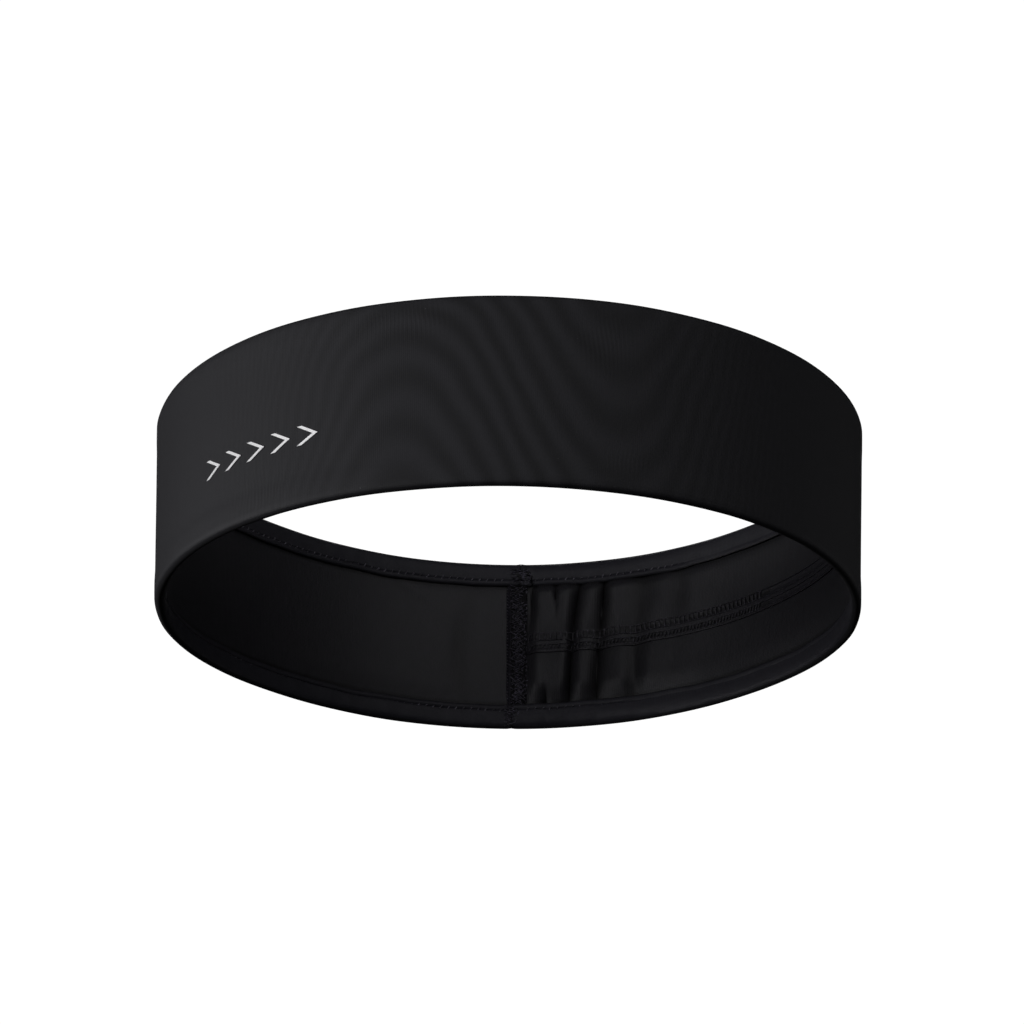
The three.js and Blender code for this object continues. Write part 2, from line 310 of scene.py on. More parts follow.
def gather(azimuth, height):
    """How far the gathered lining stands off the shell beside the seam."""
    plump = 1 + 0.20 * ripple(azimuth, height, 5, 60)
    return GATHER_RISE * gathered(azimuth) * (1 - valley(azimuth, height)) * plump


def valley_shade(azimuth, height):
    """Cloth deep in a pleat gets next to no light."""
    away = turns_from_seam(azimuth)
    tucked = ramp(height, 5.5 * MM, 8 * MM) * ramp(HEIGHT - height, 5.5 * MM, 8 * MM)
    return VALLEY_SHADE * valley(azimuth, height) * ramp(away, 1.2, 2.2) * (1 - ramp(away, 16, 44)) * tucked


def open_groove(azimuth, upper):
    """How deep the stitches pull their groove, from 0 to 1: most near the seam."""
    away = turns_from_seam(azimuth)
    right = ramp(away, 26, 36) if upper else ramp(away, 15, 25)
    return 1 - 0.45 * ramp(-away, 13, 60) - 0.9 * right


def hem_crease(azimuth, height, at_fold, lean, width):
    """A slanting crease across the upper hem, from 0 to 1, `lean` degrees over at the flap's edge."""
    from_top = HEIGHT - height
    middle = at_fold - lean * from_top / HEM_DEPTH
    return bump(azimuth, middle, width) * (1 - ramp(from_top, HEM_DEPTH, 2 * HEM_DEPTH))


def hem_slit(azimuth, height):
    """The deep crease of the upper hem beside the seam."""
    return hem_crease(azimuth, height, 177.1, 1.5, 0.34)


def hem_wander(azimuth, upper):
    """How far a flap's edge strays up or down from its even line."""
    return EDGE_WANDER * ripple(azimuth, np.where(upper, 3.0, 1.0) * MM, 31, 40)


def flap_lift(azimuth, height):
    """The hems ride over the gathered lining and over the seam, and one fold end shows beside it."""
    away = turns_from_seam(azimuth)
    over = CAUGHT * (0.75 * GATHER_RISE * gathered(azimuth) + 0.25 * gather(azimuth, height))
    slit = SLIT_DEPTH * hem_slit(azimuth, height)
    tuck = TUCK_DEPTH * hem_crease(azimuth, height, 169.6, 1.6, 0.22)
    return over + SEAM_LIFT * bump(away, 0, 2.0) - slit - tuck


def shell_path():
    """The strip's mid-line from one flap's edge to the other: (depth, height, along the flap or -1)."""
    half = SHELL_CLOTH / 2
    flap_depth = HEM_FACE - half
    radius = (flap_depth - half) / 2
    fold = half + radius
    along = np.concatenate([np.linspace(0, 2.4 * MM, 13), np.linspace(3.2 * MM, HEM_DEPTH - fold, 5)])
    flap = [(flap_depth, HEM_DEPTH - a, a) for a in along]
    turn = [
        (half + radius + radius * math.cos(t), fold - radius * math.sin(t), -1)
        for t in np.linspace(0, math.pi, 8)[1:-1]
    ]
    lower = flap + turn
    upper = [(d, HEIGHT - h, a) for d, h, a in reversed(lower)]
    near_hem = np.concatenate([np.linspace(fold, 5.2 * MM, 4), np.linspace(6 * MM, 9 * MM, 6)])
    middle = np.linspace(12 * MM, HEIGHT - 12 * MM, 9)
    heights = np.concatenate([near_hem, middle, HEIGHT - near_hem[::-1]])
    return np.array(lower + [(half, h, -1) for h in heights] + upper)


def band_columns(height):
    """Columns right round the band, close together near the seam and wider elsewhere.

    Gives their azimuths as they would be on an upright seam, and as the seam's lean makes them.
    """
    gap = math.degrees(0.05 * MM / UPPER_RADIUS)
    fine = math.degrees(FINE_STEP / UPPER_RADIUS)
    coarse = math.degrees(COARSE_STEP / UPPER_RADIUS)
    end = SEAM_AZIMUTH - gap
    columns = [SEAM_AZIMUTH - 360 + gap]
    while columns[-1] < end:
        near = abs(float(turns_from_seam(columns[-1]))) < SEAM_ZONE
        columns.append(columns[-1] + (fine if near else coarse))
    columns = np.array(columns[:-1] + [end])[:, None]
    lean = (seam_azimuth(height) - SEAM_AZIMUTH) * (1 - ramp(np.abs(turns_from_seam(columns)), 2, 40))
    return columns, columns + lean


def cloth_from_grid(name, points, arc, height, thickness, shade=0.0):
    """A strip of cloth with real thickness, from its mid-surface: points[column, row] is a place.

    Its "cloth" attribute holds the distance along the strip and the height in millimetres, and the
    "shade" attribute how much darker than its material the cloth is painted: painted shade in its
    grooves, creases, crevices, dents and pleats, and under threads.
    """
    columns, rows = points.shape[:2]
    index = np.arange(columns * rows).reshape(columns, rows)
    quads = np.stack([index[:-1, :-1], index[1:, :-1], index[1:, 1:], index[:-1, 1:]], axis=-1)
    mesh = bpy.data.meshes.new(name)
    mesh.from_pydata(points.reshape(-1, 3).tolist(), [], quads.reshape(-1, 4).tolist())
    size = (columns, rows)
    place = np.stack([np.broadcast_to(arc, size), np.broadcast_to(height, size), np.zeros(size)], axis=-1)
    cloth = mesh.attributes.new("cloth", "FLOAT_VECTOR", "POINT")
    cloth.data.foreach_set("vector", (place / MM).reshape(-1).astype(np.float32))
    dark = mesh.attributes.new("shade", "FLOAT", "POINT")
    dark.data.foreach_set("value", np.broadcast_to(shade, size).reshape(-1).astype(np.float32))
    piece = bpy.data.objects.new(name, mesh)
    bpy.context.scene.collection.objects.link(piece)
    wall = piece.modifiers.new("thickness", "SOLIDIFY")
    wall.thickness = thickness
    wall.offset = 0
    return piece


def bake(piece, edge_angle=50):
    """Replaces a piece's mesh by its evaluated one, with smooth faces and outward normals."""
    depsgraph = bpy.context.evaluated_depsgraph_get()
    mesh = bpy.data.meshes.new_from_object(piece.evaluated_get(depsgraph))
    piece.modifiers.clear()
    piece.data = mesh
    work = bmesh.new()
    work.from_mesh(mesh)
    bmesh.ops.recalc_face_normals(work, faces=work.faces)
    work.to_mesh(mesh)
    work.free()
    mesh.shade_smooth()
    mesh.set_sharp_from_angle(angle=math.radians(edge_angle))
    return piece


def make_shell():
    path = shell_path()
    depth, height, along = path[:, 0][None], path[:, 1][None], path[:, 2][None]
    columns, azimuth = band_columns(height)
    away = turns_from_seam(columns)
    near_upper = height > HEIGHT / 2
    on_flap = along >= 0
    # the outside: proud hems, an end that rolls in at the seam, and slight unevenness
    from_top = HEIGHT - height
    swell = ramp(height, 0, 1.5 * MM) * (1 - ramp(height, 4.6 * MM, 9.0 * MM))
    swell = swell + 0.5 * ramp(from_top, 0, 1.5 * MM) * (1 - ramp(from_top, 4.6 * MM, 9.0 * MM))
    roll = SEAM_ROLL * bump(away, 0, math.degrees(0.8 * MM / UPPER_RADIUS))
    uneven = OUTSIDE_UNEVEN * ripple(azimuth, height, 11, 24)
    outside = depth - HEM_SWELL * swell + roll + uneven
    # the inside: a puffed flap, the stitched groove and the rolled edge
    from_edge = np.where(on_flap, along, HEM_DEPTH)
    openness = np.where(near_upper, 0.6 * open_groove(azimuth, True), open_groove(azimuth, False))
    arc = np.radians(columns) * UPPER_RADIUS
    bite = 0.5 + 0.5 * np.cos(2 * np.pi * arc / STITCH_PITCH)
    puff = FLAP_PUFF * ramp(from_edge, 1.5 * MM, 3.6 * MM) * (1 - ramp(from_edge, 4.4 * MM, HEM_DEPTH))
    groove = GROOVE_DEPTH * (openness + 0.3 * bite * openness) * bump(from_edge, GROOVE_INSET, GROOVE_WIDTH)
    bead = BEAD_RISE * bump(from_edge, BEAD_INSET, 0.5 * MM) - EDGE_DROP * bump(from_edge, 0, 0.3 * MM)
    bead = bead * (0.2 + 0.8 * np.minimum(1, openness * np.where(near_upper, 2, 1)))
    wrinkle = FLAP_WRINKLE * ripple(azimuth, height, 23, 90) * ramp(from_edge, 0, 2 * MM)
    lift = flap_lift(azimuth, height) * (1 - ramp(from_edge, 3.5 * MM, HEM_DEPTH))
    inside = depth + puff - groove + bead + wrinkle + lift
    stray = hem_wander(azimuth, near_upper) * (1 - ramp(from_edge, 3 * MM, HEM_DEPTH)) * on_flap
    moved = height + np.where(near_upper, -stray, stray)
    points = wall_points(azimuth, moved, np.where(on_flap, inside, outside))
    dark = GROOVE_SHADE * openness * bump(from_edge, GROOVE_INSET, GROOVE_WIDTH)
    dark = dark + EDGE_SHADE * bump(from_edge, 0, 0.28 * MM)
    dark = 1 - (1 - dark) * (1 - SLIT_SHADE * hem_slit(azimuth, height) * on_flap)
    dark = 1 - (1 - dark) * (1 - SEAM_SHADE * bump(away, 0, math.degrees(0.4 * MM / UPPER_RADIUS)))
    piece = cloth_from_grid("shell_cloth", points, arc, height, SHELL_CLOTH, shade=dark)
    # the flaps' faces take the second material: the same knit in a paler colour, which is painted light
    rows = np.tile((along[0][:-1] >= 0) | (along[0][1:] >= 0), len(columns) - 1)
    piece.data.polygons.foreach_set("material_index", rows.astype(np.int32))
    return piece


def calculate(tree, operation, a, b=0.0, c=0.0):
    return flow(tree, "ShaderNodeMath", {"operation": operation}, i0=a, i1=b, i2=c)


def open_group(name, kind, inputs, outputs):
    """An empty node group whose inputs and outputs are given as {name: socket type}, and its inputs."""
    group = bpy.data.node_groups.new(name, kind)
    for side, sockets in (("INPUT", inputs), ("OUTPUT", outputs)):
        for label, socket_type in sockets.items():
            group.interface.new_socket(label, in_out=side, socket_type=socket_type)
    return group, put(group, "NodeGroupInput").outputs


# The watered bands, in millimetres: their tone is a wave of along - WATER_TURN * atan(along / WATER_BEND),
# which turns back on itself about 28 mm to either side of the front, and it fades away from the front.
WATER_BEND = 68.0
WATER_TURN = 79.3
WATER_RISE = 0.072
WATER_SPREAD = 46.0
WANDER = 5.0
# Where single ribs show as stripes: the patch's middle and half width along the strip, then up it.
OPEN_RIBS = [(-27.0, 12.0, 44.0, 4.5), (24.0, 7.0, 38.0, 7.0), (30.0, 6.0, 8.0, 3.0), (-68.0, 9.0, 6.0, 6.0)]
OPEN_RIB_PITCH = 1.15


def knit_group():
    """Fine knit: low ribs and courses, and the watered tone where ribs and yarn count drift apart."""
    number = "NodeSocketFloat"
    given = {"Cloth": "NodeSocketVector", "Rib Pitch": number, "Watering": number}
    group, start = open_group("fine_knit", "ShaderNodeTree", given, {"Tone": number, "Height": number})
    place = put(group, "ShaderNodeSeparateXYZ", Vector=start["Cloth"]).outputs

    def calc(operation, a, b=0.0, c=0.0):
        return calculate(group, operation, a, b, c)

    def wave(cycles):
        return calc("SINE", calc("MULTIPLY", cycles, 2 * math.pi))

    def patch(middle_x, half_x, middle_y, half_y):
        """1 in the middle of an oval patch, fading to 0 outside it."""
        across = calc("DIVIDE", calc("SUBTRACT", place["X"], middle_x), half_x)
        up = calc("DIVIDE", calc("SUBTRACT", place["Y"], middle_y), half_y)
        distance = calc("ADD", calc("MULTIPLY", across, across), calc("MULTIPLY", up, up))
        return calc("EXPONENT", calc("MULTIPLY", distance, -1.0))

    drift = put(group, "ShaderNodeTexNoise", Vector=start["Cloth"], Scale=0.05, Detail=1.0).outputs["Fac"]
    along = calc("ADD", place["X"], calc("MULTIPLY", calc("SUBTRACT", drift, 0.5), WANDER))
    bow = calc("MULTIPLY", calc("ARCTANGENT", calc("DIVIDE", along, WATER_BEND)), WATER_TURN)
    arches = patch(-30.0, 30.0, -1000.0, 1000.0)
    crowding = calc("EXPONENT", calc("DIVIDE", calc("SUBTRACT", place["Y"], 50.0), 9.0))
    arched = calc("MULTIPLY", calc("MULTIPLY", crowding, 3.2), arches)
    rise = calc("MULTIPLY_ADD", place["Y"], WATER_RISE, arched)
    water = wave(calc("SUBTRACT", calc("SUBTRACT", along, bow), rise))
    open_ribs = 0.0
    for middle_x, half_x, middle_y, half_y in OPEN_RIBS:
        open_ribs = calc("ADD", open_ribs, patch(middle_x, half_x, middle_y, half_y))
    stripes = calc("MULTIPLY", wave(calc("DIVIDE", along, OPEN_RIB_PITCH)), calc("MULTIPLY", open_ribs, 0.55))
    spread = calc("DIVIDE", place["X"], WATER_SPREAD)
    middle = calc("EXPONENT", calc("MULTIPLY", calc("MULTIPLY", spread, spread), -1.0))
    strength = calc("MULTIPLY", calc("MULTIPLY_ADD", middle, 0.92, 0.08), start["Watering"])
    ribs = wave(calc("DIVIDE", place["X"], start["Rib Pitch"]))
    courses = wave(calc("DIVIDE", place["Y"], calc("MULTIPLY", start["Rib Pitch"], 0.7)))
    fine = calc("MULTIPLY_ADD", courses, 0.35, calc("MULTIPLY", ribs, 0.65))
    grain = put(group, "ShaderNodeTexNoise", Vector=start["Cloth"], Scale=2.2, Detail=3.0).outputs["Fac"]
    watered = calc("ADD", calc("MULTIPLY", water, strength), calc("MULTIPLY", stripes, start["Watering"]))
    tone = calc("MULTIPLY_ADD", calc("SUBTRACT", grain, 0.5), 0.22, watered)
    finish = put(group, "NodeGroupOutput")
    group.links.new(calc("ADD", tone, 1.0), finish.inputs["Tone"])
    group.links.new(calc("MULTIPLY_ADD", grain, 0.5, fine), finish.inputs["Height"])
    return group


fine_knit = knit_group()


def lint_group():
    """Sparse pale flecks of fluff, as a mask."""
    group, start = open_group(
        "lint_flecks", "ShaderNodeTree", {"Cloth": "NodeSocketVector"}, {"Mask": "NodeSocketFloat"}
    )
    cells = put(group, "ShaderNodeTexVoronoi", {"feature": "F1"}, Vector=start["Cloth"], Scale=0.16)
    fleck = put(
        group,
        "ShaderNodeMapRange",
        {"interpolation_type": "SMOOTHSTEP"},
        Value=cells.outputs["Distance"],
        From_Min=0.03,
        From_Max=0.0,
    )
    finish = put(group, "NodeGroupOutput")
    group.links.new(fleck.outputs["Result"], finish.inputs["Mask"])
    return group


lint_flecks = lint_group()


def cloth_material(name, colour, rib_pitch, relief, roughness, specular, watering=0.0):
    """A matt knitted fabric. Its colour is linear and gets the knit's tone, the painted shade and a few
    flecks of lint.
    """
    material, tree, output = new_material(name)
    cloth = put(tree, "ShaderNodeAttribute", {"attribute_name": "cloth"}).outputs["Vector"]
    knit = put(
        tree, "ShaderNodeGroup", {"node_tree": fine_knit}, Cloth=cloth, Rib_Pitch=rib_pitch, Watering=watering
    )
    lint = put(tree, "ShaderNodeGroup", {"node_tree": lint_flecks}, Cloth=cloth)
    shade = put(tree, "ShaderNodeAttribute", {"attribute_name": "shade"}).outputs["Fac"]
    tone = calculate(tree, "MULTIPLY", calculate(tree, "SUBTRACT", 1.0, shade), knit.outputs["Tone"])
    toned = flow(tree, "ShaderNodeVectorMath", {"operation": "SCALE"}, i0=colour, Scale=tone)
    flecked = put(
        tree,
        "ShaderNodeMix",
        {"data_type": "RGBA"},
        Factor=lint.outputs["Mask"],
        A=toned,
        B=(0.10, 0.10, 0.105, 1),
    )
    raised = flow(tree, "ShaderNodeBump", Strength=0.6, Distance=relief, Height=knit.outputs["Height"])
    surface = flow(
        tree,
        "ShaderNodeBsdfPrincipled",
        Base_Color=flecked.outputs["Result"],
        Normal=raised,
        Roughness=roughness,
        Specular_IOR_Level=specular,
        Sheen_Weight=0.03,
        Sheen_Roughness=0.45,
    )
    tree.links.new(surface, output.inputs["Surface"])
    return material


ribbed_knit = cloth_material(
    "ribbed_knit",
    (0.0130, 0.0130, 0.0148),
    rib_pitch=0.5,
    relief=0.025 * MM,
    roughness=0.6,
    specular=0.24,
    watering=0.38,
)
# The flaps' knit is the outside's cloth, a little smoother; its paler colour is painted light, making up for
# light the flaps get too little of.
hem_knit_painted_light = cloth_material(
    "hem_knit_painted_light", (0.0205, 0.0200, 0.0255), rib_pitch=0.5, relief=0.03 * MM, roughness=0.52, specular=0.24
)

shell = make_shell()
shell.data.materials.append(ribbed_knit)
shell.data.materials.append(hem_knit_painted_light)
bake(shell)
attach(shell, "root")
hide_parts("outer_shell")

# ------------------------------------------------------------------ lining
# A strip of smooth brushed jersey between the hems, its long edges caught under them. It lies flat
# on one side of the seam, but for two shallow dents, and the elastic gathers it into pleats on the other.

LINING_ROWS = 54
DENT_DEPTH = 0.4 * MM
DENT_SHADE = 0.55
UPPER_CREVICE_SHADE = 0.85
LOWER_CREVICE_SHADE = 0.9
LINING_EDGE = SHELL_CLOTH + 0.4 * MM
ELASTIC_MIDDLE = HEIGHT / 2 + 0.5 * MM


def bowed_dent(azimuth, height):
    """The shallow dents on the smooth side: one bowed like a bracket, a small one on a slant."""
    away = turns_from_seam(azimuth)
    bow = -10.2 + 2.4 * ((height - 0.45 * HEIGHT) / (0.4 * HEIGHT)) ** 2
    slant = -18.5 - 0.9 * (height - 0.78 * HEIGHT) / MM
    bracket = bump(away, bow, 1.5) * bump(height, 0.48 * HEIGHT, 16 * MM)
    return bracket + 0.4 * bump(away, slant, 1.2) * bump(height, 0.78 * HEIGHT, 3 * MM)


def lining_face(azimuth, height):
    """Depth of the lining's inner face."""
    away = turns_from_seam(azimuth)
    under_hem = ramp(height, 5.0 * MM, 13 * MM) * ramp(HEIGHT - height, 5.4 * MM, 10 * MM)
    caught = CAUGHT + (1 - CAUGHT) * under_hem
    tucked = ramp(height, 2 * MM, 4.5 * MM) * ramp(HEIGHT - height, 2 * MM, 4.5 * MM)
    pinch = 1 - 0.25 * bump(height, ELASTIC_MIDDLE, 4 * MM)
    pleats = gather(azimuth, height) * caught * tucked * pinch
    dent = DENT_DEPTH * bowed_dent(azimuth, height)
    slack = (0.4 + 0.2 * ripple(azimuth, height, 41, 14)) * MM * under_hem
    return LINING_FACE + pleats - dent + slack


def make_lining():
    height = np.linspace(LINING_EDGE, HEIGHT - LINING_EDGE, LINING_ROWS)[None]
    columns, azimuth = band_columns(height)
    face = np.maximum(lining_face(azimuth, height), LINING_FACE - 0.12 * MM)
    points = wall_points(azimuth, height, face - LINING_CLOTH / 2)
    arc = np.radians(columns) * UPPER_RADIUS
    crevice = UPPER_CREVICE_SHADE * bump(height, HEIGHT - HEM_DEPTH - 0.4 * MM, 0.6 * MM)
    crevice = crevice + LOWER_CREVICE_SHADE * bump(height, HEM_DEPTH + 0.5 * MM, 0.5 * MM)
    light = (1 - crevice) * (1 - DENT_SHADE * bowed_dent(azimuth, height))
    dark = 1 - light * (1 - valley_shade(azimuth, height))
    return cloth_from_grid("lining_cloth", points, arc, height, LINING_CLOTH, shade=dark)


brushed_jersey = cloth_material(
    "brushed_jersey", (0.0165, 0.0160, 0.0190), rib_pitch=0.6, relief=0.03 * MM, roughness=0.48, specular=0.30
)

lining = bake(make_lining())
lining.data.materials.append(brushed_jersey)
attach(lining, "root")
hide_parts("lining")

# ------------------------------------------------------------------ back seam allowance
# The sewn-together ends of shell and lining, turned to one side and laid on the lining from hem to hem.
# A soft strip about 1 mm thick, pressed thin along the needle stitches on its left and rolled beside them.

STRIP_LEFT = 180.12
STRIP_RIGHT = 176.78
STRIP_SPREAD = 0.22
STRIP_CLOTH = 0.6 * MM
STRIP_ACROSS = 26
STRIP_ROWS = 90
STRIP_THIN = 0.45 * MM
STRIP_THICK = 1.0 * MM
NEEDLE_INSET = 0.35 * MM
NEEDLE_DIP = 0.28 * MM
ROLL_INSET = 0.85 * MM
ROLL_RISE = 0.42 * MM
BORDER_DROP = 0.5 * MM
STRIP_UNEVEN = 0.06 * MM
HEM_PINCH = 0.25 * MM
BOUND_SHADE = 0.8


def strip_edges(height):
    """The azimuths of the strip's left and right borders; it is a little wider at the top."""
    share = height / HEIGHT - 0.5
    return STRIP_LEFT + STRIP_SPREAD * share, STRIP_RIGHT - 1.2 * STRIP_SPREAD * share


def strip_face(inset, height):
    """Azimuth and depth of the strip's face, `inset` metres in from its left border."""
    left, right = strip_edges(height)
    azimuth = left - np.degrees(inset / UPPER_RADIUS)
    width = np.radians(left - right) * UPPER_RADIUS
    rise = STRIP_THIN + (STRIP_THICK - STRIP_THIN) * ramp(inset, 0.4 * MM, 1.6 * MM)
    rise = rise - NEEDLE_DIP * bump(inset, NEEDLE_INSET, 0.2 * MM)
    rise = rise + ROLL_RISE * bump(inset, ROLL_INSET, 0.24 * MM)
    rise = rise - BORDER_DROP * ramp(inset, width - 0.5 * MM, width)
    lumps = np.sin(height / (1.1 * MM)) * np.sin(height / (2.3 * MM) + inset / (0.8 * MM))
    rise = rise + STRIP_UNEVEN * lumps
    caught = HEM_PINCH * (bump(height, HEM_DEPTH, 1.5 * MM) + bump(height, HEIGHT - HEM_DEPTH, 1.5 * MM))
    return azimuth, lining_face(azimuth, height) + rise - caught


def make_allowance():
    height = np.linspace(HEM_DEPTH - 0.6 * MM, HEIGHT - HEM_DEPTH + 0.6 * MM, STRIP_ROWS)[None]
    left, right = strip_edges(height)
    width = np.radians(left - right) * UPPER_RADIUS
    inset = width * np.linspace(0, 1, STRIP_ACROSS)[:, None]
    azimuth, face = strip_face(inset, height)
    points = wall_points(azimuth, height, face - STRIP_CLOTH / 2)
    # painted shade under the overlock lattice; the rolled ridge and the needle line keep the cloth's colour
    dark = BOUND_SHADE * ramp(inset, 1.0 * MM, 1.3 * MM)
    return cloth_from_grid("seam_allowance_cloth", points, inset, height, STRIP_CLOTH, shade=dark)


bound_edge = cloth_material(
    "bound_edge", (0.0125, 0.0115, 0.0165), rib_pitch=0.45, relief=0.08 * MM, roughness=0.6, specular=0.15
)

allowance = bake(make_allowance())
allowance.data.materials.append(bound_edge)
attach(allowance, "root")
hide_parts("back_seam_allowance")

# ------------------------------------------------------------------ seam needle thread
# Straight needle stitches down the left border of the allowance. Polyester thread, 0.25 mm thick: each
# stitch is a short slanted bar that dips into the cloth at both ends.

NEEDLE_PITCH = 0.95 * MM
NEEDLE_THREAD = 0.125 * MM
ON_TOP = 0.1 * MM


def open_tree(name, numbers):
    """A geometry tree with a guide, the named numbers and a material as inputs."""
    guide = {"Geometry": "NodeSocketGeometry"}
    inputs = guide | {number: "NodeSocketFloat" for number in numbers} | {"Material": "NodeSocketMaterial"}
    return open_group(name, "GeometryNodeTree", inputs, guide)


def times(tree, a, b):
    return calculate(tree, "MULTIPLY", a, b)


def vector(tree, x=0.0, y=0.0, z=0.0):
    return flow(tree, "ShaderNodeCombineXYZ", X=x, Y=y, Z=z)


def thread_along(tree, curve, radius, sides=6):
    """A round thread along a curve."""
    profile = put(tree, "GeometryNodeCurvePrimitiveCircle", Resolution=sides, Radius=radius).outputs["Curve"]
    return flow(tree, "GeometryNodeCurveToMesh", Curve=curve, Profile_Curve=profile, Fill_Caps=True)


def set_along(tree, curve, unit, jitter, seed, chosen=True):
    """The unit at each chosen point of a curve, its X along the curve and its Z towards the ring's axis."""
    tangent = flow(tree, "GeometryNodeInputTangent")
    place = flow(tree, "GeometryNodeInputPosition")
    inward = flow(tree, "ShaderNodeVectorMath", {"operation": "MULTIPLY"}, i0=place, i1=(-1, -1, 0))
    first = flow(tree, "FunctionNodeAlignRotationToVector", {"axis": "X"}, Vector=tangent)
    about_x = {"axis": "Z", "pivot_axis": "X"}
    facing = flow(tree, "FunctionNodeAlignRotationToVector", about_x, Rotation=first, Vector=inward)
    as_vector = {"data_type": "FLOAT_VECTOR"}
    chance = flow(tree, "FunctionNodeRandomValue", as_vector, Min=(-1, -1, -1), Max=(1, 1, 1), Seed=seed)
    turn = flow(tree, "ShaderNodeVectorMath", {"operation": "SCALE"}, i0=chance, Scale=jitter)
    own = {"rotation_space": "LOCAL"}
    turned = flow(tree, "FunctionNodeRotateRotation", own, Rotation=facing, Rotate_By=turn)
    grow = flow(tree, "ShaderNodeVectorMath", {"operation": "ADD"}, i0=turn, i1=(1, 1, 1))
    places = {"Points": curve, "Instance": unit, "Rotation": turned, "Scale": grow}
    points = put(tree, "GeometryNodeInstanceOnPoints", **places)
    if isinstance(chosen, bpy.types.NodeSocket):
        tree.links.new(chosen, points.inputs["Selection"])
    return points.outputs[0]


def close_tree(tree, shape, material):
    """Makes the instances real, smooth and of one material."""
    real = flow(tree, "GeometryNodeRealizeInstances", Geometry=shape)
    smooth = flow(tree, "GeometryNodeSetShadeSmooth", Geometry=real)
    coloured = flow(tree, "GeometryNodeSetMaterial", Geometry=smooth, Material=material)
    put(tree, "NodeGroupOutput", Geometry=coloured)


def stitch_tree():
    """One slanted stitch at each point of the guide."""
    numbers = ("Length", "Across", "Rise", "Sink", "Thread Radius", "Jitter")
    tree, given = open_tree("slanted_stitches", numbers)
    curve = flow(tree, "GeometryNodeMeshToCurve", Mesh=given["Geometry"])
    half_x = times(tree, given["Length"], 0.5)
    half_y = times(tree, given["Across"], 0.5)
    low = times(tree, given["Sink"], -1.0)
    back_x = times(tree, half_x, -1.0)
    back_y = times(tree, half_y, -1.0)
    crown = times(tree, given["Rise"], 2.0)
    arch = flow(
        tree,
        "GeometryNodeCurveQuadraticBezier",
        Resolution=8,
        Start=vector(tree, back_x, back_y, low),
        Middle=vector(tree, 0.0, 0.0, crown),
        End=vector(tree, half_x, half_y, low),
    )
    unit = thread_along(tree, arch, given["Thread Radius"])
    close_tree(tree, set_along(tree, curve, unit, given["Jitter"], 3), given["Material"])
    return tree


def grow_thread(name, guide, tree, material, **numbers):
    """Runs a tree on a chain of guide points and keeps the result as a plain mesh."""
    mesh = bpy.data.meshes.new(name)
    chain = [(i, i + 1) for i in range(len(guide) - 1)]
    mesh.from_pydata(np.asarray(guide).tolist(), chain, [])
    piece = bpy.data.objects.new(name, mesh)
    bpy.context.scene.collection.objects.link(piece)
    sewing = piece.modifiers.new("sewing", "NODES")
    sewing.node_group = tree
    wanted = {key.replace("_", " "): value for key, value in numbers.items()} | {"Material": material}
    for socket in tree.interface.items_tree:
        if socket.in_out == "INPUT" and socket.name in wanted:
            sewing[socket.identifier] = wanted[socket.name]
    return bake(piece, edge_angle=80)


def thread_material(name, colour, roughness):
    """Spun polyester: fine plies, with glints painted into its colour as pale patches along them, besides its
    real gloss.
    """
    material, tree, output = new_material(name)
    place = put(tree, "ShaderNodeTexCoord").outputs["Object"]
    plies = put(tree, "ShaderNodeTexNoise", Vector=place, Scale=1500.0, Detail=2.0).outputs["Fac"]
    # painted glints: along the plies the colour runs from 0.04 to 2.4 times its own
    spread = {"From_Min": 0.38, "From_Max": 0.66, "To_Min": 0.04, "To_Max": 2.4}
    tone = flow(tree, "ShaderNodeMapRange", Value=plies, **spread)
    toned = flow(tree, "ShaderNodeVectorMath", {"operation": "SCALE"}, i0=colour, Scale=tone)
    relief = flow(tree, "ShaderNodeBump", Strength=0.5, Distance=0.06 * MM, Height=plies)
    surface = flow(
        tree,
        "ShaderNodeBsdfPrincipled",
        Base_Color=toned,
        Normal=relief,
        Roughness=roughness,
        Specular_IOR_Level=0.45,
        Sheen_Weight=0.05,
    )
    tree.links.new(surface, output.inputs["Surface"])
    return material


slanted_stitches = stitch_tree()
seam_thread = thread_material("seam_thread", (0.034, 0.031, 0.044), 0.4)

needle_heights = np.arange(HEIGHT - HEM_DEPTH - 0.3 * MM, HEM_DEPTH, -NEEDLE_PITCH)
needle_azimuth, needle_depth = strip_face(NEEDLE_INSET, needle_heights)
needle = grow_thread(
    "seam_needle_stitches",
    wall_points(needle_azimuth, needle_heights, needle_depth + ON_TOP),
    slanted_stitches,
    seam_thread,
    Length=0.7 * MM,
    Across=0.5 * MM,
    Rise=0.24 * MM,
    Sink=0.1 * MM,
    Thread_Radius=NEEDLE_THREAD,
    Jitter=0.16,
)
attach(needle, "root")
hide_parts("seam_needle_thread")

# ------------------------------------------------------------------ seam looper thread
# The overlock that binds the allowance: looper threads cross to and fro over its whole width in a fine
# lattice, and hook round each other in a row of small loops at the right border.

LOOPER_PITCH = 0.66 * MM
LOOPER_SPAN = 4.0
LATTICE_LEFT = 1.15 * MM
LATTICE_RIGHT = math.radians(STRIP_LEFT - STRIP_RIGHT) * UPPER_RADIUS - 0.15 * MM


